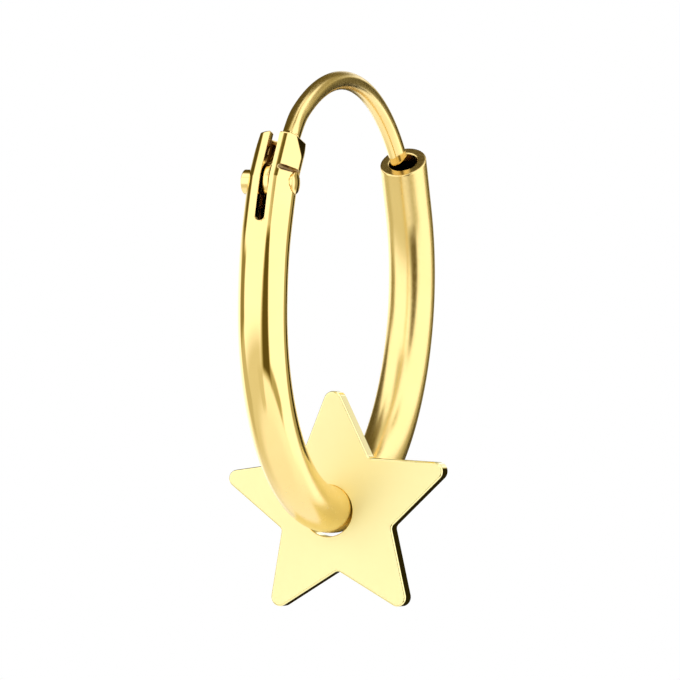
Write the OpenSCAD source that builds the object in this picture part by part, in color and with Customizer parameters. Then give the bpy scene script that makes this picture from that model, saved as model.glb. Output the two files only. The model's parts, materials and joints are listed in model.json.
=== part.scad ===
// Hoop earring with a star charm, in millimetres.
// A hollow wire hoop is closed by a thin hinged ear wire, and a flat
// five-point star hangs on the hoop by the hole in its middle.
// +Z is up and the hoop stands in the XZ plane, with its hinge at -X.
// The origin is the middle of the ear wire at its highest point, where
// the ear carries it.

/* [Hoop] */
// Outside diameter of the hoop
hoop_d = 13; // [11:0.1:16]
// Outside diameter of the hoop's tube
tube_d = 1.3; // [1.1:0.05:1.6]
// Diameter of the bore along the tube
bore_d = 0.8; // [0.7:0.05:0.9]
// Height over the hoop's middle where its open end turns straight, in degrees
open_bend_end = 24; // [16:0.5:28]
// Length of the straight open end
open_end_l = 1.55; // [1.2:0.05:2]
// Slant of the open end's cut, which leaves its outer side longer, in degrees
open_cut_turn = 14; // [0:1:18]
// Height over the hoop's middle where its hinge end turns straight, in degrees
hinge_bend_end = 15; // [12:0.5:22]
// Length of the straight hinge end
hinge_end_l = 2.55; // [2:0.05:2.8]

/* [Hinge] */
// Length of the slot that splits the hinge end into two leaves
slot_l = 2.45; // [2.2:0.05:3.2]
// Distance of the rivet from the hinge end, along the tube
rivet_set = 1.23; // [1:0.01:1.4]
// Diameter of the rivet's shank
rivet_d = 0.36; // [0.3:0.02:0.44]
// Diameter of the rivet's tall head
tall_head_d = 0.68; // [0.6:0.02:0.76]
// Height of the tall head over the side of the tube
tall_head_h = 0.22; // [0.12:0.02:0.3]
// Diameter of the rivet's low head
low_head_d = 0.6; // [0.52:0.02:0.7]
// Height of the low head over the side of the tube
low_head_h = 0.06; // [0.04:0.01:0.12]
// Depth of the seats that the rivet's heads sit in
seat_depth = 0.11; // [0.1:0.01:0.14]
// Clearance round the rivet where it is held in the leaves
rivet_fit = 0.01; // [0.005:0.005:0.015]
// Clearance round the rivet where the blade turns on it
pivot_gap = 0.02; // [0.01:0.005:0.04]
// Clearance on each side of the blade in its slot
blade_gap = 0.05; // [0.02:0.005:0.06]
// Length of the flat pressed on one leaf
flat_l = 0.9; // [0.6:0.05:1]
// Depth of that flat
flat_depth = 0.05; // [0.03:0.01:0.07]
// Turn of that flat from the side towards the outside of the hoop
flat_turn = 29; // [20:1:40]
// Length of the taper on the outside of the other leaf
taper_l = 0.84; // [0.6:0.02:0.86]
// Depth of that taper at the leaf's end
taper_depth = 0.17; // [0.05:0.01:0.2]

/* [Ear wire] */
// Diameter of the ear wire
wire_d = 0.5; // [0.45:0.01:0.56]
// Radius of the ear wire's arc, from the rivet to the open end
wire_r = 6.32; // [6.2:0.02:6.6]
// How far inside the open end's middle the wire goes in
wire_shift = 0.04; // [0.02:0.01:0.1]
// Length of the wire's free end inside the tube
wire_in = 0.42; // [0.35:0.01:0.5]
// Length of the taper at the tip of the free end
tip_l = 0.2; // [0.1:0.01:0.25]
// Diameter of the tip
tip_d = 0.26; // [0.2:0.01:0.3]
// Length of the taper where the round wire meets the blade
shoulder_l = 0.15; // [0.12:0.01:0.3]
// Diameter of that taper's small end
shoulder_d = 0.24; // [0.2:0.01:0.3]
// Thickness of the blade that the wire is forged to at the hinge
blade_t = 0.16; // [0.12:0.01:0.2]
// Diameter of the blade's round end
blade_d = 1.12; // [1:0.02:1.16]
// Width of the blade beside the rivet, where its taper starts
blade_w = 1; // [0.8:0.05:1.1]
// Clearance between the round wire and the corners of the leaves
shoulder_gap = 0.04; // [0.03:0.01:0.15]

/* [Star] */
// Reach of each arm from the star's middle
star_r = 3.2; // [2.8:0.05:4]
// Angle of each arm's point, in degrees
arm_angle = 47.6; // [40:0.2:56]
// Radius of the rounded points
tip_round = 0.25; // [0.15:0.01:0.35]
// Radius of the rounded notches between the arms
notch_round = 0.15; // [0.05:0.01:0.3]
// Thickness of the star
star_t = 0.5; // [0.35:0.05:0.7]
// Clearance between the star's hole and the tube, all round
hole_gap = 0.075; // [0.06:0.005:0.12]
// Gap left over the tube, where the hanging star rests on it
rest_gap = 0.025; // [0.02:0.005:0.04]
// Distance of the hole from the star's middle, towards the tall head's side
hole_shift = 0.12; // [0:0.01:0.25]
// Turn of the star in its own plane, in degrees
star_turn = 4; // [-10:1:10]

/* [Hidden] */
$fn = 96;

// How far a cutting shape runs past the surface that it cuts
over = 1;

// A place given by a direction from the middle, a distance along it and one to its left
function beside(angle, out, left) =
    [out * cos(angle) - left * sin(angle), out * sin(angle) + left * cos(angle)];

// The tube's middle line: an arc between two straight ends
ring_r = (hoop_d - tube_d) / 2;
half_turn = 180;
hinge_bend_at = half_turn - hinge_bend_end;
bend_sweep = half_turn + hinge_bend_end + open_bend_end;

// Straight ends are a hair thinner than the bent bars that they start inside
end_step = 0.01;
end_lap = 0.08;
end_r = tube_d / 2 - end_step;

// The ear wire's arc passes through the rivet and just inside the open end's middle
rivet_p = beside(hinge_bend_at, ring_r, rivet_set - hinge_end_l);
entry_p = beside(open_bend_end, ring_r - wire_shift, open_end_l);
chord = entry_p - rivet_p;
chord_side = [chord[1], -chord[0]] / norm(chord);
wire_middle = (rivet_p + entry_p) / 2 + chord_side * sqrt(pow(wire_r, 2) - pow(norm(chord) / 2, 2));
wire_top = wire_middle + [0, wire_r];
blade_at = atan2(rivet_p[1] - wire_middle[1], rivet_p[0] - wire_middle[0]);
entry_at = atan2(entry_p[1] - wire_middle[1], entry_p[0] - wire_middle[0]);
wire_deg_per_mm = half_turn / (PI * wire_r);
tip_at = entry_at - (wire_in - tip_l) * wire_deg_per_mm;

// The round wire starts where it clears the leaves' corners
leaf_corner = norm([rivet_set, end_r]);
shoulder_set = leaf_corner + shoulder_gap + shoulder_l;
shoulder_at = blade_at - 2 * asin(shoulder_set / (2 * wire_r));

// The blade's root runs into the round wire and stays under its surface
root_l = 0.06;
root_cover = 0.015;
root_w = 2 * (sqrt(pow(wire_d / 2, 2) - pow(blade_t / 2, 2)) - root_cover);
root_at = shoulder_at - root_l * wire_deg_per_mm;

slot_w = blade_t + 2 * blade_gap;
seat_z = end_r - seat_depth;

// The star, from its rounded points back to its sharp corners
half_arm = arm_angle / 2;
sharp_r = star_r - tip_round + tip_round / sin(half_arm);
arm_step = 72;
notch_angle = arm_step / 2;
notch_r = sharp_r * sin(half_arm) / sin(notch_angle + half_arm);
tip_back = tip_round / tan(half_arm);
half_notch = notch_angle + half_arm;
notch_back = notch_round / tan(half_notch);
hole_d = tube_d + 2 * hole_gap;
hang = hole_gap - rest_gap;

gold = [0.93, 0.78, 0.42];
pale_gold = [0.98, 0.88, 0.55];

// Draws in the hoop's plane, from its middle, with the low head's side up
module in_hoop_plane() {
    translate([-wire_top[0], 0, -wire_top[1]]) rotate([90, 0, 0]) children();
}

// A distance from the hinge end's rim: x points outwards, y along the tube
module on_hinge_end(from_rim) {
    rotate([0, 0, hinge_bend_at]) translate([ring_r, from_rim - hinge_end_l, 0]) children();
}

// A round bar bent along an arc about the Z axis
module bent_bar(d, r, start, sweep) {
    rotate([0, 0, start]) rotate_extrude(angle = sweep) translate([r, 0]) circle(d = d);
}

// A straight bar or a taper that goes on from a bent one, forwards or backwards
module straight(d, end_d, r, angle, forwards, length) {
    rotate([0, 0, angle])
        translate([r, -forwards * end_lap, 0])
        rotate([-90 * forwards, 0, 0])
        cylinder(d1 = d, d2 = end_d, h = length + end_lap);
}

// A round bar along the tube's middle line, which may run past its ends
module hoop_bar(d, end_d, hinge_past, open_past) {
    bent_bar(d, ring_r, hinge_bend_at, bend_sweep);
    straight(end_d, end_d, ring_r, hinge_bend_at, -1, hinge_end_l + hinge_past);
    straight(end_d, end_d, ring_r, open_bend_end, 1, open_end_l + open_past);
}

// What is cut off the open end, at a slant
module open_cut() {
    cut_w = tube_d + 2 * over;
    rotate([0, 0, open_bend_end])
        translate([ring_r, open_end_l, 0])
        rotate([0, 0, open_cut_turn])
        translate([-cut_w / 2, 0, -cut_w / 2])
        cube([cut_w, 2 * over, cut_w]);
}

// The saw cut between the leaves, round at its foot
module hinge_slot() {
    on_hinge_end(slot_l - slot_w / 2) {
        translate([-(tube_d + over) / 2, -slot_l - over, -slot_w / 2])
            cube([tube_d + over, slot_l + over, slot_w]);
        rotate([0, 90, 0]) cylinder(d = slot_w, h = tube_d + over, center = true);
    }
}

// The rivet's hole through both leaves, with a seat for each head
module rivet_seats() {
    on_hinge_end(rivet_set) {
        cylinder(d = rivet_d + 2 * rivet_fit, h = tube_d + over, center = true);
        translate([0, 0, seat_z]) cylinder(d = low_head_d + 2 * rivet_fit, h = over);
        mirror([0, 0, 1]) translate([0, 0, seat_z]) cylinder(d = tall_head_d + 2 * rivet_fit, h = over);
    }
}

// What is pressed away for the flat on the low head's leaf
module leaf_flat() {
    on_hinge_end(flat_l)
        rotate([0, flat_turn, 0])
        translate([-end_r, -flat_l - over, end_r - flat_depth])
        cube([tube_d, flat_l + over, over]);
}

// What is filed away for the taper on the tall head's leaf
module leaf_taper() {
    on_hinge_end(0)
        mirror([0, 0, 1])
        translate([0, 0, end_r - taper_depth])
        rotate([atan(taper_depth / taper_l), 0, 0])
        translate([-tube_d, -over, 0])
        cube([2 * tube_d, taper_l + 2 * over, over]);
}

module hoop_tube() {
    color(gold) in_hoop_plane() difference() {
        hoop_bar(tube_d, 2 * end_r, 0, over);
        hoop_bar(bore_d, bore_d + 2 * end_step, over, 2 * over);
        open_cut();
        hinge_slot();
        rivet_seats();
        leaf_flat();
        leaf_taper();
    }
}

// A domed head that stands on z = foot and reaches z = top
module rivet_head(d, foot, top, dome) {
    dome_r = (pow(d / 2, 2) + pow(dome, 2)) / (2 * dome);
    intersection() {
        translate([0, 0, foot]) cylinder(d = d, h = top - foot);
        translate([0, 0, top - dome_r]) sphere(r = dome_r);
    }
}

module hinge_rivet() {
    foot = seat_z + rivet_fit;
    color(pale_gold) in_hoop_plane() on_hinge_end(rivet_set) {
        cylinder(d = rivet_d, h = 2 * end_r, center = true);
        rivet_head(low_head_d, foot, end_r + low_head_h, low_head_h);
        mirror([0, 0, 1])
            rivet_head(tall_head_d, foot, end_r + tall_head_h, tall_head_h * 2 / 3);
    }
}

// A point of the wire's plane, at a distance and an angle from its circle's middle
function at_polar(r, angle) = [r * cos(angle), r * sin(angle)];

// The flat blade, which tapers from the rivet into the round wire
module blade() {
    difference() {
        linear_extrude(height = blade_t, center = true) {
            translate(at_polar(wire_r, blade_at)) circle(d = blade_d);
            polygon([
                at_polar(wire_r - blade_w / 2, blade_at),
                at_polar(wire_r + blade_w / 2, blade_at),
                at_polar(wire_r + root_w / 2, root_at),
                at_polar(wire_r - root_w / 2, root_at)
            ]);
        }
        translate(at_polar(wire_r, blade_at))
            cylinder(d = rivet_d + 2 * pivot_gap, h = blade_t + over, center = true);
    }
}

module ear_wire() {
    color(gold) in_hoop_plane() translate([wire_middle[0], wire_middle[1], 0]) {
        bent_bar(wire_d, wire_r, tip_at, shoulder_at - tip_at);
        straight(wire_d - 2 * end_step, tip_d, wire_r, tip_at, -1, tip_l);
        straight(wire_d - 2 * end_step, shoulder_d, wire_r, shoulder_at, 1, shoulder_l);
        blade();
    }
}

// Where an edge of the star leaves the rounding of a point or a notch
function on_edge(from, to, back) = from + back * (to - from) / norm(to - from);

// One arm's outline: notch, point, notch, each given by its two ends
function arm_outline(i) =
    let (
        tip = at_polar(sharp_r, i * arm_step),
        before = at_polar(notch_r, i * arm_step - notch_angle),
        after = at_polar(notch_r, i * arm_step + notch_angle)
    )
    [
        on_edge(before, tip, notch_back),
        on_edge(tip, before, tip_back),
        on_edge(tip, after, tip_back),
        on_edge(after, tip, notch_back)
    ];

// The star's outline, with one point along +X
module star_outline() {
    difference() {
        union() {
            polygon([for (i = [0 : 4]) each arm_outline(i)]);
            for (i = [0 : 4])
                translate(at_polar(sharp_r - tip_round / sin(half_arm), i * arm_step)) circle(r = tip_round);
        }
        for (i = [0 : 4])
            translate(at_polar(notch_r + notch_round / sin(half_notch), (i + 0.5) * arm_step))
                circle(r = notch_round);
    }
}

module star_charm() {
    color(pale_gold) translate([-wire_top[0], 0, -wire_top[1] - ring_r - hang]) rotate([90, 0, 90])
        difference() {
            translate([-hole_shift, 0, 0])
                linear_extrude(height = star_t, center = true) rotate([0, 0, 90 - star_turn]) star_outline();
            cylinder(d = hole_d, h = star_t + over, center = true);
        }
}

hoop_tube();
hinge_rivet();
ear_wire();
star_charm();
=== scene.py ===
"""Looks of a hoop earring with a star charm: fine pieces around the CAD frame, gold and a light tent."""

import itertools
import json
import math

import bpy
import numpy as np
from mathutils import Matrix, Vector
from mathutils.geometry import tessellate_polygon


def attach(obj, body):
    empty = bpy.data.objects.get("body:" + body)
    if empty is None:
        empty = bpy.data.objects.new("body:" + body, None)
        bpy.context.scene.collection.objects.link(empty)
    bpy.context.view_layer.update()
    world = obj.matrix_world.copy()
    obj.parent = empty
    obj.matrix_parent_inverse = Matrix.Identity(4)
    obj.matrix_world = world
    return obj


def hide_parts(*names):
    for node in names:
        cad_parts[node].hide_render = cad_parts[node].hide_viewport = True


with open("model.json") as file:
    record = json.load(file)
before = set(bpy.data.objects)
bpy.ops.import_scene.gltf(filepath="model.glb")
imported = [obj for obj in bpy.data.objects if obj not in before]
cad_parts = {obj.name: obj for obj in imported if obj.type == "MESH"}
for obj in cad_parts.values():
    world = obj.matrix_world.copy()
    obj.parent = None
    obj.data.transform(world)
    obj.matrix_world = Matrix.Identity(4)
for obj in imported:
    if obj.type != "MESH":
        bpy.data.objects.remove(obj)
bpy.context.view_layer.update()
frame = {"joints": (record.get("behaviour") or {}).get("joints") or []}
joints = {j["name"]: j for j in frame["joints"]}

# Lengths are in millimetres up to the moment a mesh is made, and angles in degrees
MM = 0.001

# Sizes that the CAD source states
HOOP_D = 13.0
TUBE_D = 1.3
BORE_D = 0.8
OPEN_BEND_END = 24.0
OPEN_END_L = 1.55
OPEN_CUT_TURN = 14.0
HINGE_BEND_END = 15.0
HINGE_END_L = 2.55
SLOT_L = 2.45
SLOT_W = 0.26
RIVET_SET = 1.23
RIVET_D = 0.36
TALL_HEAD_D = 0.68
TALL_HEAD_H = 0.22
LOW_HEAD_D = 0.6
LOW_HEAD_H = 0.06
SEAT_DEPTH = 0.11
RIVET_FIT = 0.01
PIVOT_GAP = 0.02
FLAT_L = 0.9
FLAT_DEPTH = 0.05
FLAT_TURN = 29.0
TAPER_L = 0.84
TAPER_DEPTH = 0.17
WIRE_D = 0.5
WIRE_R = 6.32
WIRE_SHIFT = 0.04
WIRE_IN = 0.42
TIP_L = 0.2
TIP_D = 0.26
SHOULDER_L = 0.15
SHOULDER_GAP = 0.04
BLADE_T = 0.16
BLADE_D = 1.12
BLADE_W = 1.0
STAR_R = 3.2
ARM_ANGLE = 47.6
TIP_ROUND = 0.25
NOTCH_ROUND = 0.15
STAR_T = 0.5
STAR_TURN = 4.0

# How the pressed flat ends: the slope up from it, and the groove there, by its half width, how far it lies
# past the flat, and how many times deeper than wide it is
FLAT_RISE = 0.9
GROOVE_R = 0.07
GROOVE_PAST = 0.04
GROOVE_DEEP = 1.3

# The corner filed off the low head's leaf
BEVEL_L = 0.5
BEVEL_DEPTH = 0.16

# How far the hinge end leans to one side, how far along the tube that reaches, and the length over which it
# fades, and how far the tips of its leaves lean back, and over what length
HINGE_LEAN = 0.05
LEAN_END = 4.5
LEAN_L = 3.0
LEAF_LEAN = 0.13
LEAF_LEAN_L = 1.2

# How far the ear wire's tip lies to that side in its bore, and its blade beside the middle between the
# leaves, which fades up to BLADE_END from the rivet. Round PASS_AT from it, where the leaves' tips lean back,
# the wire lies LEAF_PASS to the other side
WIRE_LEAN = 0.1
BLADE_SIDE = 0.035
BLADE_END = 1.1
BLADE_EASE = 0.7
LEAF_PASS = 0.09
PASS_AT = 1.35
PASS_L = 1.4

# Where the star's outline and hole lie, how much wider its upper and its right-hand arms are, the hole's size
# and how far the hole's middle hangs below the tube's, both a little less than in the CAD
OFF_HOLE = -0.195, 0.06
HOLE_ASIDE = 0.02, 0
UNEVEN = 0.009
HOLE_D = 1.40
HANG = 0.045

# Roundings of the metal's edges, which the CAD leaves sharp, and how many faces go round one
RIM_EDGE = 0.035
CUT_EDGE = 0.02
BLADE_EDGE = 0.03
TIP_EDGE = TIP_D / 2.2
HEAD_EDGE = 0.03
STAR_EDGE = 0.055
HOLE_EDGE = 0.03
EDGE_STEPS = 6

# How dark the tube is, from 0 to 1, at its rim, in its groove and in its open half, where that comes in over
# OPEN_FADE; in the groove this is painted shade. Its bore and its slot begin to darken with painted shade at
# the depth DARK_FROM and are dark DARK_OVER deeper. ON_SURFACE is the slack for a point that lies on a
# surface
RIM_DARK = 0.45
GROOVE_DARK = 0.9
OPEN_DARK = 0.05
OPEN_FADE = 6.0
DARK_FROM = 0.06
DARK_OVER = 0.12
ON_SURFACE = 0.004

# Places that the frame gives
hoop_x, hoop_z = (joints["charm_travel"]["pos_m"][i] / MM for i in (0, 2))
rivet_x, rivet_z = (joints["wire_hinge"]["pos_m"][i] / MM for i in (0, 2))

ring_r = (HOOP_D - TUBE_D) / 2
bend_l = math.radians(180 + HINGE_BEND_END + OPEN_BEND_END) * ring_r
hoop_l = HINGE_END_L + bend_l + OPEN_END_L
seat_y = TUBE_D / 2 - SEAT_DEPTH


def sin(angle):
    return math.sin(math.radians(angle))


def cos(angle):
    return math.cos(math.radians(angle))


def polar(r, angle):
    """A point at a distance and an angle from the middle."""
    return np.array([r * cos(angle), r * sin(angle)])


def smooth(share):
    """A share from 0 to 1, eased at both ends."""
    share = np.clip(share, 0, 1)
    return share * share * (3 - 2 * share)


def steps(start, *spans):
    """Positions from a start on, each span given by its end and its step."""
    found = [start]
    for end, step in spans:
        count = max(1, round((end - start) / step))
        found.extend(start + (end - start) * (i + 1) / count for i in range(count))
        start = end
    return np.array(found)


# Solids given by a field: its value is about the distance to the surface, and negative inside
def both(a, b, edge):
    """What lies inside both fields, with a round of radius edge where their surfaces meet."""
    corner = np.hypot(np.maximum(a + edge, 0), np.maximum(b + edge, 0)) - edge
    return np.where((a > -edge) & (b > -edge), corner, np.maximum(a, b))


def without(a, b, edge):
    """What lies inside a and outside b."""
    return both(a, -b, edge)


def slope_of(field, points, step=1e-4):
    """The field's gradient at each point."""
    parts = []
    for axis in range(3):
        shift = np.zeros(3)
        shift[axis] = step
        parts.append((field(points + shift) - field(points - shift)) / (2 * step))
    return np.stack(parts, axis=-1)


def settle(field, points, rounds=5, longest=0.03):
    """The points moved onto the field's surface, and the surface's normals there."""
    for _ in range(rounds):
        slope = slope_of(field, points)
        move = field(points) / np.maximum((slope ** 2).sum(-1), 1e-6)
        points = points - np.clip(move, -longest, longest)[:, None] * slope
    slope = slope_of(field, points)
    return points, slope / np.maximum(np.linalg.norm(slope, axis=1), 1e-9)[:, None]


def net(field, place, closed=False):
    """Points, faces and corner normals of a field's surface, with a vertex in each cell that it crosses.

    place holds the points of a bent grid. closed joins the last row of its second axis to the first.
    """
    if closed:
        place = np.concatenate([place, place[:, :1]], axis=1)
    value = field(place)
    cells = tuple(n - 1 for n in value.shape)

    def corner(array, at):
        return array[tuple(slice(a, a + n) for a, n in zip(at, cells))]

    total, count = np.zeros(cells + (3,)), np.zeros(cells)
    for start in itertools.product((0, 1), repeat=3):
        for axis in range(3):
            if start[axis]:
                continue
            end = tuple(1 if i == axis else s for i, s in enumerate(start))
            low, high = corner(value, start), corner(value, end)
            crossed = (low < 0) != (high < 0)
            share = np.where(crossed, low / np.where(crossed, low - high, 1), 0)[..., None]
            point = corner(place, start) * (1 - share) + corner(place, end) * share
            total += np.where(crossed[..., None], point, 0)
            count += crossed
    used = count > 0
    number = np.full(cells, -1)
    number[used] = np.arange(used.sum())
    padded = np.pad(number, 1, constant_values=-1)
    if closed:
        padded[:, 0] = padded[:, -2]

    faces = []
    for axis in range(3):
        low = corner(value, (0, 0, 0)) < 0
        high = corner(value, tuple(int(i == axis) for i in range(3))) < 0
        at = np.argwhere(low != high)
        around = []
        for second, third in ((0, 0), (1, 0), (1, 1), (0, 1)):
            shift = np.zeros(3, int)
            shift[axis], shift[(axis + 1) % 3], shift[(axis + 2) % 3] = 1, second, third
            around.append(padded[tuple((at + shift).T)])
        quads = np.stack(around, axis=1)
        inwards = ~low[tuple(at.T)]
        quads[inwards] = quads[inwards][:, ::-1]
        faces.append(quads[(quads >= 0).all(axis=1)])
    faces = np.concatenate(faces)
    points, normals = settle(field, total[used] / count[used][:, None])
    a, b, c = (points[faces[:, i]] for i in range(3))
    if (np.cross(b - a, c - a) * normals[faces[:, 0]]).sum() < 0:
        faces = faces[:, ::-1]
    return points, faces.tolist(), normals[faces].reshape(-1, 3)


class Shell:
    """The points, faces and corner normals of a mesh that is made ring by ring."""

    def __init__(self):
        self.points, self.faces, self.normals = [], [], []

    def ring(self, points):
        """Adds the points and gives their numbers; a ring of no width is one point."""
        first = len(self.points)
        if np.ptp(points, axis=0).max() < 1e-9:
            self.points.append(points[0])
            return [first] * len(points)
        self.points.extend(points)
        return list(range(first, len(self.points)))

    def face(self, corners, normals):
        """Adds a face that looks the way its normals do."""
        kept = [i for i in range(len(corners)) if corners[i] != corners[i - 1]]
        corners, normals = [corners[i] for i in kept], [normals[i] for i in kept]
        a, b, c = (self.points[i] for i in corners[:3])
        if np.dot(np.cross(b - a, c - a), np.sum(normals, axis=0)) < 0:
            corners, normals = corners[::-1], normals[::-1]
        self.faces.append(corners)
        self.normals.extend(normals)

    def stack(self, rows):
        """Joins rings, given by their points and normals, and returns the first and the last ring's numbers.

        Two rows at one place with different normals make a sharp edge.
        """
        rings = []
        for i, (points, _) in enumerate(rows):
            same = i and np.allclose(points, rows[i - 1][0], atol=1e-9)
            rings.append(rings[-1] if same else self.ring(points))
        for i in range(1, len(rows)):
            if rings[i] is rings[i - 1]:
                continue
            low, high = rows[i - 1][1], rows[i][1]
            for j in range(len(low)):
                corners = [rings[i - 1][j - 1], rings[i - 1][j], rings[i][j], rings[i][j - 1]]
                self.face(corners, [low[j - 1], low[j], high[j], high[j - 1]])
        return rings[0], rings[-1]

    def done(self):
        return self.points, self.faces, self.normals


def make_piece(name, mesh_data, body, node, material, dark=None):
    """A smooth piece that rides on a body and stands for a CAD node.

    dark gives how dark the metal is at each point, from 0 to 1, for the material: mostly painted shade.
    """
    points, faces, normals = mesh_data
    mesh = bpy.data.meshes.new(name)
    mesh.from_pydata((np.asarray(points) * MM).tolist(), [], faces)
    mesh.polygons.foreach_set("use_smooth", [True] * len(mesh.polygons))
    mesh.normals_split_custom_set(np.asarray(normals).tolist())
    mesh.materials.append(material)
    # The "dark" values, mostly painted shade, go to the material as an attribute
    if dark:
        mesh.attributes.new("dark", "FLOAT", "POINT").data.foreach_set("value", dark(np.asarray(points)))
    piece = bpy.data.objects.new(name, mesh)
    bpy.context.scene.collection.objects.link(piece)
    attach(piece, body)
    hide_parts(node)
    return piece


# The hoop's tube: straight, bent and straight again
def on_hoop(along):
    """Points of the tube's middle line in the hoop's plane, and the outward directions there."""
    bent = np.clip(along - HINGE_END_L, 0, bend_l)
    ahead = along - HINGE_END_L - bent
    angle = np.radians(180 - HINGE_BEND_END) + bent / ring_r
    outward = np.stack([np.cos(angle), np.sin(angle)], axis=-1)
    forward = np.stack([-np.sin(angle), np.cos(angle)], axis=-1)
    return [hoop_x, hoop_z] + ring_r * outward + ahead[..., None] * forward, outward


def from_hoop(x, z):
    """Distances of points along the tube's middle line and outwards from it."""
    x, z = x - hoop_x, z - hoop_z
    r, turn = np.hypot(x, z), (np.degrees(np.arctan2(z, x)) - 90) % 360 + 90
    along = HINGE_END_L + np.radians(turn - 180 + HINGE_BEND_END) * ring_r
    out = r - ring_r
    for angle, near, start in ((180 - HINGE_BEND_END, turn < 180 - HINGE_BEND_END, HINGE_END_L),
                               (OPEN_BEND_END, turn > 360 + OPEN_BEND_END, HINGE_END_L + bend_l)):
        along = np.where(near, start - x * sin(angle) + z * cos(angle), along)
        out = np.where(near, x * cos(angle) + z * sin(angle) - ring_r, out)
    return along, out


def leaning(along):
    """How far the tube's middle lies to one side, near its hinge end, whose tips lean back."""
    leaf = np.clip(1 - along / LEAF_LEAN_L, 0, 1.1)
    return HINGE_LEAN * smooth((LEAN_END - along) / LEAN_L) - LEAF_LEAN * leaf


def groove(along, towards):
    """The groove at the end of the pressed flat, negative inside it."""
    depth = TUBE_D / 2 - FLAT_DEPTH / 2 - towards
    return np.hypot(along - FLAT_L - GROOVE_PAST, depth / GROOVE_DEEP) - GROOVE_R


def past_rim(along, out):
    """How far past the slanted cut of the open end."""
    return (along - hoop_l) * cos(OPEN_CUT_TURN) - out * sin(OPEN_CUT_TURN)


def hoop_field(points):
    """The tube with its slot and rivet seats, the flat on one leaf and the taper on the other."""
    x, y, z = points[..., 0], points[..., 1], points[..., 2]
    along, out = from_hoop(x, z)
    y = y - leaning(along)
    section = np.hypot(out, y)
    metal = np.maximum(section - TUBE_D / 2, BORE_D / 2 - section)
    towards = out * sin(FLAT_TURN) - y * cos(FLAT_TURN)
    over_flat = towards - TUBE_D / 2 + FLAT_DEPTH
    pressed = np.maximum(-over_flat, (along - FLAT_L - FLAT_RISE * over_flat) / math.hypot(1, FLAT_RISE))
    metal = without(metal, pressed, CUT_EDGE)
    for side, l, depth in ((y, TAPER_L, TAPER_DEPTH), (-y, BEVEL_L, BEVEL_DEPTH)):
        metal = without(metal, TUBE_D / 2 - depth + along * depth / l - side, CUT_EDGE)
    metal = without(metal, groove(along, towards), CUT_EDGE / 2)
    off_rivet = np.hypot(x - rivet_x, z - rivet_z)
    low_seat = np.maximum(off_rivet - LOW_HEAD_D / 2 - RIVET_FIT / 3, seat_y + y)
    tall_seat = np.maximum(off_rivet - TALL_HEAD_D / 2 - RIVET_FIT, seat_y - y)
    for cut in (low_seat, tall_seat, off_rivet - RIVET_D / 2 - RIVET_FIT):
        metal = without(metal, cut, CUT_EDGE / 4)
    past_foot = np.maximum(along - (SLOT_L - SLOT_W / 2), 0)
    metal = without(metal, np.hypot(past_foot, y) - SLOT_W / 2, CUT_EDGE)
    return both(metal, np.maximum(-along, past_rim(along, out)), RIM_EDGE)


def hoop_painted_shade(points):
    """How dark the tube is at each point: painted shade, 1 deep in its bore and its slot and less in the
    groove; the tube is also darker at its rim and in its open half."""
    along, out = from_hoop(points[:, 0], points[:, 2])
    side = points[:, 1] - leaning(along)
    depth = TUBE_D / 2 - np.hypot(out, side)
    in_slot = (along < SLOT_L) & (np.abs(side) < SLOT_W / 2 + ON_SURFACE)
    past = past_rim(along, out)
    in_bore = (along > RIM_EDGE) & (past < -RIM_EDGE)
    in_groove = groove(along, out * sin(FLAT_TURN) - side * cos(FLAT_TURN)) < CUT_EDGE / 2
    # Painted shade deep in the bore and the slot, and in the groove
    found = np.where(in_slot | in_bore, smooth((depth - DARK_FROM) / DARK_OVER), 0)
    found = found + GROOVE_DARK * (in_groove & (depth < DARK_OVER))
    found = np.maximum(found, RIM_DARK * (past > -ON_SURFACE))
    return np.maximum(found, OPEN_DARK * smooth((along - bend_l / 2) / OPEN_FADE))


def hoop_grid():
    """A grid round the tube, fine at its two ends and a little larger than the tube."""
    fine, coarse, thick, sides = 0.03, 0.18, 0.025, 112
    along = steps(-0.15, (SLOT_L + 0.2, fine), (hoop_l - 0.6, coarse), (hoop_l + 0.3, fine))
    around = np.linspace(0, 2 * np.pi, sides, endpoint=False)
    out = np.arange(BORE_D / 2 - 0.06, TUBE_D / 2 + 0.07, thick)
    along, around, out = np.meshgrid(along, around, out, indexing="ij")
    middle, outward = on_hoop(along)
    place = middle + outward * (out * np.cos(around))[..., None]
    return np.stack([place[..., 0], out * np.sin(around) + leaning(along), place[..., 1]], axis=-1)


# The ear wire, on an arc through the rivet and just inside the open end's middle
rivet_point = np.array([rivet_x, rivet_z])
rim_point, rim_outward = on_hoop(np.array(hoop_l))
entry_point = rim_point - rim_outward * WIRE_SHIFT
chord = entry_point - rivet_point
chord_l = np.linalg.norm(chord)
arc_middle = (rivet_point + entry_point) / 2 + np.array([chord[1], -chord[0]]) / chord_l * math.sqrt(
    WIRE_R ** 2 - (chord_l / 2) ** 2)


def on_arc(point):
    """The angle at which a point of the hoop's plane lies on the ear wire's arc."""
    return math.degrees(math.atan2(*(point - arc_middle)[::-1]))


blade_at = on_arc(rivet_point)
tip_end = on_arc(entry_point) - math.degrees(WIRE_IN / WIRE_R)
round_starts = math.hypot(RIVET_SET, TUBE_D / 2) + SHOULDER_GAP + SHOULDER_L


def wire_side(x, z):
    """How far the wire's middle lies to one side, from the rivet past the leaning leaves to its tip."""
    from_rivet = np.hypot(x - rivet_x, z - rivet_z)
    blade = BLADE_SIDE * smooth((BLADE_END - from_rivet) / BLADE_EASE)
    past_leaves = LEAF_PASS * smooth(1 - np.abs(from_rivet - PASS_AT) / PASS_L)
    to_tip = (x - rivet_x) * (WIRE_LEAN - HINGE_LEAN) / chord[0]
    return HINGE_LEAN + blade - past_leaves + to_tip


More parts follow.
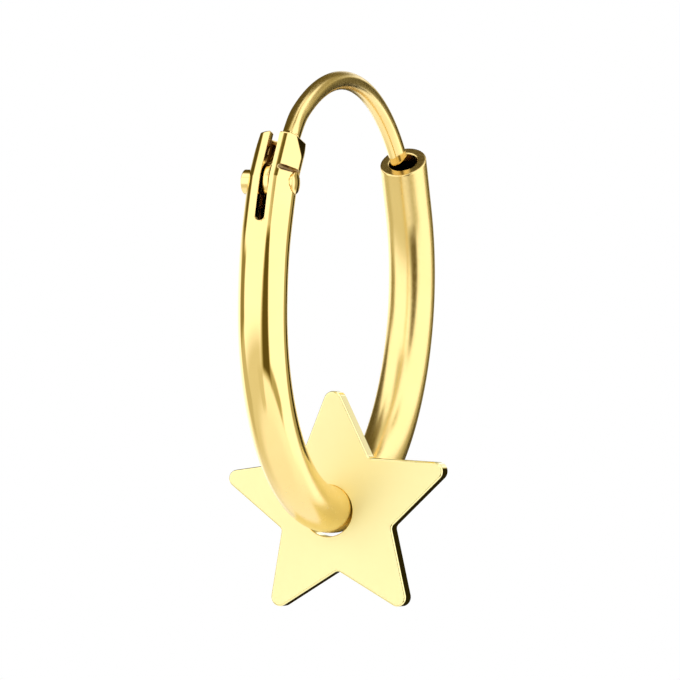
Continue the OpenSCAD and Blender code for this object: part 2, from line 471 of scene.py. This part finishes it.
def wire_field(points):
    """The round wire with its tapered tip and the blade that it is forged to."""
    x, z = points[..., 0], points[..., 2]
    y = points[..., 1] - wire_side(x, z)
    r = np.hypot(x - arc_middle[0], z - arc_middle[1])
    angle = np.degrees(np.arctan2(z - arc_middle[1], x - arc_middle[0]))
    from_rivet = np.radians(blade_at - angle) * WIRE_R
    to_tip = np.radians(angle - tip_end) * WIRE_R
    forged = smooth((round_starts - from_rivet) / SHOULDER_L)
    half_t = WIRE_D / 2 + (BLADE_T / 2 - WIRE_D / 2) * forged
    spread = np.clip(1 - from_rivet / round_starts, 0, 1)
    tip = np.clip(1 - to_tip / TIP_L, 0, 1)
    half_w = WIRE_D / 2 + (BLADE_W - WIRE_D) / 2 * spread - (WIRE_D - TIP_D) / 2 * tip ** 2
    shank = both(np.hypot(r - WIRE_R, y) - half_w, np.abs(y) - half_t, BLADE_EDGE)
    shank = np.maximum(both(shank, -to_tip, TIP_EDGE), -from_rivet)
    off_rivet = np.hypot(x - rivet_x, z - rivet_z)
    eye = both(off_rivet - BLADE_D / 2, np.abs(y) - BLADE_T / 2, BLADE_EDGE)
    return without(np.minimum(shank, eye), off_rivet - RIVET_D / 2 - PIVOT_GAP, CUT_EDGE / 2)


def wire_grid():
    """A grid along the wire, fine at the blade and the tip and a little larger than the wire."""
    fine, coarse, thick = 0.025, 0.08, 0.0275
    length = math.radians(blade_at - tip_end) * WIRE_R
    along = steps(-0.65, (round_starts + 0.2, fine), (length - 0.5, coarse), (length + 0.1, fine))
    out = np.arange(-0.66, 0.661, thick)
    side = np.arange(-0.2888, 0.289, thick)
    angle = math.radians(blade_at) - along / WIRE_R
    angle, out, side = np.meshgrid(angle, out, side, indexing="ij")
    x = arc_middle[0] + (WIRE_R + out) * np.cos(angle)
    z = arc_middle[1] + (WIRE_R + out) * np.sin(angle)
    return np.stack([x, side + wire_side(x, z), z], axis=-1)


# The rivet, and how much of a head's rounded edge lies within the height of its dome
DOME_STEPS = 12
RIVET_SIDES = 72
EDGE_SHARE = 0.6


def rivet_head(d, h, dome, sign):
    """Half the profile of a head: radius, height and normal, from its top to the foot of its side."""
    r = d / 2 - HEAD_EDGE
    drop = dome - HEAD_EDGE * EDGE_SHARE
    sphere_r = (r ** 2 + drop ** 2) / (2 * drop)
    full = math.degrees(math.asin(r / sphere_r))
    top = TUBE_D / 2 + h
    found = []
    for i in range(DOME_STEPS + 1):
        a = full * i / DOME_STEPS
        found.append((sphere_r * sin(a), top - sphere_r * (1 - cos(a)), sin(a), cos(a)))
    middle = (sphere_r - HEAD_EDGE) * sin(full), top - sphere_r + (sphere_r - HEAD_EDGE) * cos(full)
    for i in range(1, EDGE_STEPS + 1):
        a = full + (90 - full) * i / EDGE_STEPS
        found.append((middle[0] + HEAD_EDGE * sin(a), middle[1] + HEAD_EDGE * cos(a), sin(a), cos(a)))
    found.append((found[-1][0], seat_y + RIVET_FIT, 1, 0))
    return [(r, sign * height, out, sign * up) for r, height, out, up in found]


def rivet_shell():
    """The rivet, turned about its own axis."""
    foot = seat_y + RIVET_FIT
    low = rivet_head(LOW_HEAD_D, LOW_HEAD_H, LOW_HEAD_H, -1)
    tall = rivet_head(TALL_HEAD_D, TALL_HEAD_H, TALL_HEAD_H / 2, 1)
    shank = [(low[-1][0], -foot, 0, 1), (RIVET_D / 2, -foot, 0, 1), (RIVET_D / 2, -foot, 1, 0),
             (RIVET_D / 2, foot, 1, 0), (RIVET_D / 2, foot, 0, -1), (tall[-1][0], foot, 0, -1)]
    turns = [polar(1, 360 * i / RIVET_SIDES) for i in range(RIVET_SIDES)]
    rows = []
    for r, h, out, up in low + shank + tall[::-1]:
        points = np.array([(rivet_x + r * c, h + HINGE_LEAN, rivet_z + r * s) for c, s in turns])
        rows.append((points, np.array([(out * c, up, out * s) for c, s in turns])))
    shell = Shell()
    shell.stack(rows)
    return shell.done()


# The star
ARMS = 5
TIP_STEPS = 10
NOTCH_STEPS = 5
HOLE_SIDES = 96


def star_outline():
    """Points and outward normals round the star, in its own plane."""
    half_arm, arm_step = ARM_ANGLE / 2, 360 / ARMS
    half_notch = arm_step / 2 + half_arm
    sharp_r = STAR_R - TIP_ROUND + TIP_ROUND / sin(half_arm)
    notch_r = sharp_r * sin(half_arm) / sin(half_notch)
    tip_middle = sharp_r - TIP_ROUND / sin(half_arm)
    notch_middle = notch_r + NOTCH_ROUND / sin(half_notch)
    found = []
    for i in range(ARMS):
        arm = 90 - STAR_TURN + i * arm_step
        notch = arm + arm_step / 2
        for j in range(-TIP_STEPS, TIP_STEPS + 1):
            turn = arm + (90 - half_arm) * j / TIP_STEPS
            found.append((polar(tip_middle, arm) + polar(TIP_ROUND, turn), polar(1, turn)))
        for j in range(-NOTCH_STEPS, NOTCH_STEPS + 1):
            turn = notch - (90 - half_notch) * j / NOTCH_STEPS
            found.append((polar(notch_middle, notch) - polar(NOTCH_ROUND, turn), polar(1, turn)))
    return np.array([p for p, _ in found]), np.array([n for _, n in found])


def edged_wall(outline, normals, edge):
    """Rows from the front face over a rounded edge and a wall to the back face, each with its normals."""
    rows = []
    turns = [90 * i / EDGE_STEPS for i in range(EDGE_STEPS + 1)]
    for side in (-1, 1):
        for turn in turns if side < 0 else turns[::-1]:
            flat = outline - normals * edge * (1 - sin(turn))
            depth = side * (STAR_T / 2 - edge * (1 - cos(turn)))
            points = np.column_stack([np.full(len(flat), depth), flat[:, 0], flat[:, 1]])
            facing = np.column_stack([np.full(len(flat), side * cos(turn)), normals * sin(turn)])
            rows.append((points + [hoop_x, 0, hoop_z - ring_r - HANG], facing))
    return rows


def star_shell():
    """The star: its rim, its hole and the two faces between them."""
    shell = Shell()
    outline, outward = star_outline()
    outline = outline * (1 + UNEVEN * np.array([1, -1]) * outline[:, ::-1])
    rim = shell.stack(edged_wall(outline + OFF_HOLE, outward, STAR_EDGE))
    turns = np.array([polar(1, 360 * i / HOLE_SIDES) for i in range(HOLE_SIDES)])
    hole = shell.stack(edged_wall(turns * HOLE_D / 2 + HOLE_ASIDE, -turns, HOLE_EDGE))
    for side, outer, inner in zip((-1, 1), rim, hole):
        numbers = outer + inner
        loops = [[Vector(shell.points[i]) for i in ring] for ring in (outer, inner)]
        for triangle in tessellate_polygon(loops):
            shell.face([numbers[i] for i in triangle], [np.array([side, 0, 0])] * 3)
    return shell.done()


# Tints of the gold, the deeper one of each pair in its clouds, and the dark brown that paints shade into the
# tube's bore, slot and groove and darkens its rim
HOOP_TINTS = (1.0, 0.78, 0.34), (0.99, 0.76, 0.32)
RIVET_TINTS = (1.0, 0.78, 0.35), (0.97, 0.73, 0.31)
STAR_TINTS = (1.0, 0.9, 0.455), (0.99, 0.885, 0.445)
PAINTED_SHADE_BROWN = 0.18, 0.11, 0.05

# The gold's clouds, by their size and where in them the two tints lie, its polishing marks, by their size,
# depth and roughness and where in them that comes in, and the size of its slight swell
CLOUD_SIZE = 1.4
CLOUD_STOPS = 0.3, 0.65
MARK_SIZE = 0.09
MARK_DEPTH = 0.0001
MARK_ROUGH = 0.05
MARK_STOPS = 0.35, 0.75
SWELL_SIZE = 0.8

# How much rougher the gold is where it is worn, and the places along x or z between which that comes in
OPEN_WEAR = 0.0, 0.19
OPEN_WEAR_X = -0.5, 3.5
BOTTOM_WEAR = 0.0, 0.2
BOTTOM_WEAR_Z = -8.5, -11.0
TOP_WEAR = 0.02, 0.19
TOP_WEAR_Z = -2.2, -0.8

# At the star's edges and on its faces: how much rougher it is, how metallic it is, and how squarely it looks
# along x
SATIN = 0.0, 0.36
COATED = 1.0, 0.5
SQUARE = 0.9, 0.99


def link(tree, kind, inputs, **settings):
    """A new node with its settings and inputs, which are sockets or values; gives its first output."""
    made = tree.nodes.new(kind)
    for name, value in settings.items():
        setattr(made, name, value)
    for name, value in inputs.items():
        if isinstance(value, bpy.types.NodeSocket):
            tree.links.new(value, made.inputs[name])
        else:
            made.inputs[name].default_value = value
    return made.outputs[0]


def calc(tree, operation, *values):
    return link(tree, "ShaderNodeMath", dict(enumerate(values)), operation=operation)


def rise(tree, value, start, end, low=0.0, high=1.0):
    """Eases from low at start to high at end, and stays level beyond them."""
    inputs = {"Value": value, "From Min": start, "From Max": end, "To Min": low, "To Max": high}
    return link(tree, "ShaderNodeMapRange", inputs, interpolation_type="SMOOTHSTEP")


def with_painted_shade(tree, colour):
    """The colour, turning to the dark brown of painted shade by the mesh's own "dark" values."""
    dark = link(tree, "ShaderNodeAttribute", {}, attribute_name="dark").node.outputs["Fac"]
    mix = tree.nodes.new("ShaderNodeMix")
    mix.data_type = "RGBA"
    tree.links.new(dark, mix.inputs["Factor"])
    tree.links.new(colour, mix.inputs[6])
    # The brown of the painted shade
    mix.inputs[7].default_value = (*PAINTED_SHADE_BROWN, 1)
    return mix.outputs[2]


def gold(name, tints, shine, seed, wave, dull=None, bare=None, paints_shade=False):
    """Polished gold: tiny changes of colour and gloss, fine polishing marks and a slightly uneven surface.

    shine is its roughness where it is brightest, seed moves its pattern along, and wave is the depth of its
    swell. dull gives how much rougher the gold is in places, and bare how metallic it is, both worked out in
    the material's nodes. The last flag lays the painted shade of the mesh's "dark" values on the colour.
    """
    material = bpy.data.materials.new(name)
    material.use_nodes = True
    tree = material.node_tree
    shader = tree.nodes["Principled BSDF"]
    place = link(tree, "ShaderNodeVectorMath", {0: tree.nodes.new("ShaderNodeTexCoord").outputs["Object"],
                                                1: (seed * MM, 0, 0)}, operation="ADD")

    def noise(size, detail):
        return link(tree, "ShaderNodeTexNoise", {"Vector": place, "Scale": 1 / (size * MM), "Detail": detail})

    clouds, marks, swell = noise(CLOUD_SIZE, 3), noise(MARK_SIZE, 4), noise(SWELL_SIZE, 1)
    ramp = tree.nodes.new("ShaderNodeValToRGB")
    tree.links.new(clouds, ramp.inputs["Fac"])
    for stop, at, tint in zip(ramp.color_ramp.elements, CLOUD_STOPS, tints[::-1]):
        stop.position, stop.color = at, (*tint, 1)
    colour = ramp.outputs["Color"]
    # The hoop's colour takes painted shade from its "dark" values
    tree.links.new(with_painted_shade(tree, colour) if paints_shade else colour, shader.inputs["Base Color"])
    rough = rise(tree, marks, *MARK_STOPS, shine, shine + MARK_ROUGH)
    if dull:
        rough = calc(tree, "ADD", rough, dull(tree))
    tree.links.new(rough, shader.inputs["Roughness"])
    uneven = link(tree, "ShaderNodeBump", {"Height": swell, "Distance": wave * MM, "Strength": 1.0})
    fine = link(tree, "ShaderNodeBump", {"Height": marks, "Distance": MARK_DEPTH * MM, "Strength": 1.0,
                                         "Normal": uneven})
    tree.links.new(fine, shader.inputs["Normal"])
    shader.inputs["Metallic"].default_value = 1
    if bare:
        tree.links.new(bare(tree), shader.inputs["Metallic"])
    return material


def worn(tree, axis, places, wear):
    """Eases from one wear to another between two places along an axis."""
    place = tree.nodes.new("ShaderNodeTexCoord").outputs["Object"]
    parts = link(tree, "ShaderNodeSeparateXYZ", {0: place}).node.outputs
    start, end = places
    return rise(tree, parts[axis], start * MM, end * MM, *wear)


def worn_places(tree):
    """The hoop is less bright in its open half, and at its bottom, where the star rubs."""
    open_half = worn(tree, "X", OPEN_WEAR_X, OPEN_WEAR)
    bottom = worn(tree, "Z", BOTTOM_WEAR_Z, BOTTOM_WEAR)
    return calc(tree, "MAXIMUM", open_half, bottom)


def worn_top(tree):
    """The ear wire is less bright where it goes through the ear."""
    return worn(tree, "Z", TOP_WEAR_Z, TOP_WEAR)


def off_edge(tree, values):
    """One value on the star's bright edges and another on its two flat faces."""
    facing = tree.nodes.new("ShaderNodeTexCoord").outputs["Normal"]
    side = calc(tree, "ABSOLUTE", link(tree, "ShaderNodeSeparateXYZ", {0: facing}))
    return rise(tree, side, *SQUARE, *values)


def satin_faces(tree):
    """The star's faces have a satin polish."""
    return off_edge(tree, SATIN)


def coated_faces(tree):
    """The star's faces are less metallic than its edges, so that they scatter the light a little."""
    return off_edge(tree, COATED)


# The hoop's gold carries the painted shade of its bore, slot and groove
hoop_gold = gold("hoop_gold", HOOP_TINTS, shine=0.03, seed=0, wave=0.002, dull=worn_places, paints_shade=True)
rivet_gold = gold("rivet_gold", RIVET_TINTS, shine=0.06, seed=20, wave=0.002)
wire_gold = gold("wire_gold", HOOP_TINTS, shine=0.03, seed=40, wave=0.001, dull=worn_top)
star_gold = gold("star_gold", STAR_TINTS, shine=0.03, seed=60, wave=0.001, dull=satin_faces,
                 bare=coated_faces)

make_piece("hoop_tube_fine", net(hoop_field, hoop_grid(), closed=True), "hoop", "hoop_tube",
           hoop_gold, hoop_painted_shade)
make_piece("ear_wire_fine", net(wire_field, wire_grid()), "ear_wire", "ear_wire", wire_gold)
make_piece("hinge_rivet_fine", rivet_shell(), "hoop", "hinge_rivet", rivet_gold)
make_piece("star_charm_fine", star_shell(), "charm", "star_charm", star_gold)

# A plain pale floor, well below the earring, and its board: the shades of its grain, how much less blue it
# is than white, how fine the grain is and how rough the board
FLOOR_DROP = 80.0
FLOOR_R = 420.0
FLOOR_SIDES = 96
FLOOR_SHADES = 0.91, 0.95
FLOOR_BLUE = 0.99
FLOOR_GRAIN = 60.0
FLOOR_ROUGH = 0.9


def pale_floor():
    """A round floor of pale, very slightly uneven board."""
    mesh = bpy.data.meshes.new("floor")
    rim = [(*polar(FLOOR_R, 360 * i / FLOOR_SIDES) * MM, -FLOOR_DROP * MM) for i in range(FLOOR_SIDES)]
    mesh.from_pydata(rim, [], [list(range(FLOOR_SIDES))])
    material = bpy.data.materials.new("floor")
    material.use_nodes = True
    tree = material.node_tree
    shader = tree.nodes["Principled BSDF"]
    ramp = tree.nodes.new("ShaderNodeValToRGB")
    tree.links.new(link(tree, "ShaderNodeTexNoise", {"Scale": FLOOR_GRAIN, "Detail": 4}), ramp.inputs["Fac"])
    for stop, shade in zip(ramp.color_ramp.elements, FLOOR_SHADES):
        stop.color = (shade, shade, shade * FLOOR_BLUE, 1)
    tree.links.new(ramp.outputs["Color"], shader.inputs["Base Color"])
    shader.inputs["Roughness"].default_value = FLOOR_ROUGH
    mesh.materials.append(material)
    floor = bpy.data.objects.new("floor", mesh)
    bpy.context.scene.collection.objects.link(floor)
    floor.visible_glossy = False


pale_floor()

# The camera, at the photograph's viewing angle, with the earring enlarged about the frame's middle
VIEW_AZIMUTH = -69.87
VIEW_ELEVATION = -0.10
VIEW_ROLL = 2.19
VIEW_DISTANCE = 145.96
AIM_DROP = 1.26
LENS = 178.0
ENLARGED = 1.6
SENSOR = 36.0
CLIP_START = 10.0
CLIP_END = 10000.0

back = Vector((sin(VIEW_AZIMUTH) * cos(VIEW_ELEVATION), -cos(VIEW_AZIMUTH) * cos(VIEW_ELEVATION),
               sin(VIEW_ELEVATION)))
turn = (-back).to_track_quat("-Z", "Y").to_matrix() @ Matrix.Rotation(math.radians(VIEW_ROLL), 3, "Z")
camera_data = bpy.data.cameras.new("camera")
camera_data.sensor_width = SENSOR
camera_data.lens = LENS * ENLARGED
camera_data.clip_start = CLIP_START * MM
camera_data.clip_end = CLIP_END * MM
camera = bpy.data.objects.new("camera", camera_data)
aim = Vector((hoop_x, 0, hoop_z)) - turn.col[1] * AIM_DROP
camera.matrix_world = Matrix.Translation((aim + back * VIEW_DISTANCE) * MM) @ turn.to_4x4()
bpy.context.scene.collection.objects.link(camera)
bpy.context.scene.camera = camera

# The light tent and its colour at each brightness, a warm brown where it is dark
TENT_BRIGHT = 1.4
TENT_COLOURS = [
    (0.0, (0.0, 0.0, 0.0)),
    (0.16, (0.16, 0.12, 0.025)),
    (0.5, (0.5, 0.45, 0.25)),
    (0.79, (0.79, 0.75, 0.58)),
    (1.0, (1.0, 0.98, 0.92)),
    (1.4, (1.4, 1.4, 1.4)),
]

# Each zone darkens a part of the tent that the gold mirrors, seen from the earring. Azimuths run from the
# camera's direction to its right, from -180 to 180 with the seam behind and else from 0 to 360. Both these
# and the elevations have soft edges, and spread widens the zone for each degree of elevation
ZONES = [
    # zone, seam behind, azimuths, their edges, spread, elevations, their edges, brightness
    ("table left", False, (180, 350), (30, 26), 0, (-100, -20), (1, 18), 0.8),
    ("table right", True, (-14, 105), (14, 20), 0, (-100, -37), (1, 8), 1.2),
    ("table behind", False, (105, 215), (20, 40), 0, (-100, -30), (1, 12), 1.1),
    ("table below", False, (-10, 370), (1, 1), 0, (-100, -55), (1, 22), 1.08),
    ("table front, left", True, (-36, -10), (10, 12), 0, (-56, -36), (8, 8), 0.74),
    ("table's front edge", True, (30, 74), (8, 12), 0, (-39, -29), (5, 5), 0.5),
    ("left, behind", False, (180, 246), (1, 12), 0, (6, 75), (10, 6), 0.1),
    ("low far left", True, (-130, -98), (14, 10), 0, (-36, -6), (8, 6), 0.62),
    ("far left, behind", True, (-126, -94), (16, 10), 0, (-10, 10), (6, 6), 0.3),
    ("high left, behind", True, (-130, -92), (10, 14), 0, (50, 72), (10, 10), 0.2),
    ("right, behind", True, (144, 181), (10, 1), 0, (20, 62), (8, 8), 0.13),
    ("beside right, behind", True, (114, 148), (8, 8), 0, (14, 44), (7, 8), 0.36),
    ("low right, behind", True, (116, 140), (10, 10), 0, (-10, 22), (7, 8), 0.42),
    ("wall behind", False, (136, 188), (5, 6), 0, (-10, 13), (6, 6), 0.42),
    ("card behind", False, (136, 188), (5, 6), 0, (-25, -3), (4, 4), 0.02),
    ("card's high side", False, (136, 152), (5, 6), 0, (-5, 12), (2, 6), 0.02),
    ("roof", False, (-10, 370), (1, 1), 0, (76, 100), (12, 1), 0.9),
    ("roof left", True, (-140, -20), (14, 14), 0, (70, 100), (8, 1), 0.75),
    ("roof right, behind", True, (116, 152), (10, 10), 0, (68, 84), (6, 6), 0.28),
    ("roof right", True, (34, 62), (8, 8), 0, (58, 72), (6, 6), 0.55),
    ("roof front, left", True, (-46, -6), (14, 14), 0, (34, 74), (8, 8), 0.62),
    ("camera", True, (-2, 26), (14, 8), -0.2, (-38, 30), (8, 16), 0.12),
]


def light_tent():
    """The world: white for the camera's own rays, and the tent for all others."""
    world = bpy.data.worlds.new("tent")
    bpy.context.scene.world = world
    world.use_nodes = True
    tree = world.node_tree
    way = tree.nodes.new("ShaderNodeTexCoord").outputs["Generated"]
    parts = {}
    axes = {"front": (back[0], back[1], 0), "right": (-back[1], back[0], 0), "up": (0, 0, 1)}
    for name, axis in axes.items():
        dot = tree.nodes.new("ShaderNodeVectorMath")
        dot.operation = "DOT_PRODUCT"
        tree.links.new(way, dot.inputs[0])
        dot.inputs[1].default_value = axis
        parts[name] = dot.outputs["Value"]
    ahead = calc(tree, "DEGREES", calc(tree, "ARCTAN2", parts["right"], parts["front"]))
    behind = calc(tree, "FLOORED_MODULO", ahead, 360.0)
    height = calc(tree, "DEGREES", calc(tree, "ARCSINE", parts["up"]))
    light = None
    for _, seam_behind, span, soft, spread, tall, soft_tall, value in ZONES:
        turn = ahead if seam_behind else behind
        middle = sum(span) / 2
        if spread:
            width = calc(tree, "MULTIPLY_ADD", height, spread / (span[1] - middle), 1.0)
            turn = calc(tree, "DIVIDE", calc(tree, "SUBTRACT", turn, middle), width)
            turn = calc(tree, "ADD", turn, middle)
        share = 1.0
        for along, ends, edges in ((turn, span, soft), (height, tall, soft_tall)):
            for end, edge, way_in in zip(ends, edges, (1, -1)):
                eased = rise(tree, along, end - way_in * edge / 2, end + way_in * edge / 2)
                share = calc(tree, "MULTIPLY", share, eased)
        before = TENT_BRIGHT if light is None else light
        light = calc(tree, "MULTIPLY_ADD", share, calc(tree, "SUBTRACT", value, before), before)
    ramp = tree.nodes.new("ShaderNodeValToRGB")
    tree.links.new(calc(tree, "DIVIDE", light, TENT_BRIGHT), ramp.inputs["Fac"])
    stops = ramp.color_ramp.elements
    while len(stops) < len(TENT_COLOURS):
        stops.new(0.5)
    for stop, (level, colour) in zip(stops, TENT_COLOURS):
        stop.position = level / TENT_BRIGHT
        stop.color = (*(c / TENT_BRIGHT for c in colour), 1)
    tent = tree.nodes["Background"]
    tree.links.new(ramp.outputs["Color"], tent.inputs["Color"])
    tent.inputs["Strength"].default_value = TENT_BRIGHT
    plain = tree.nodes.new("ShaderNodeBackground")
    plain.inputs["Color"].default_value = (1, 1, 1, 1)
    seen = tree.nodes.new("ShaderNodeLightPath").outputs["Is Camera Ray"]
    shown = link(tree, "ShaderNodeMixShader", {0: seen, 1: tent.outputs[0], 2: plain.outputs[0]})
    tree.links.new(shown, tree.nodes["World Output"].inputs["Surface"])


light_tent()
bpy.context.scene.view_settings.view_transform = "Standard"
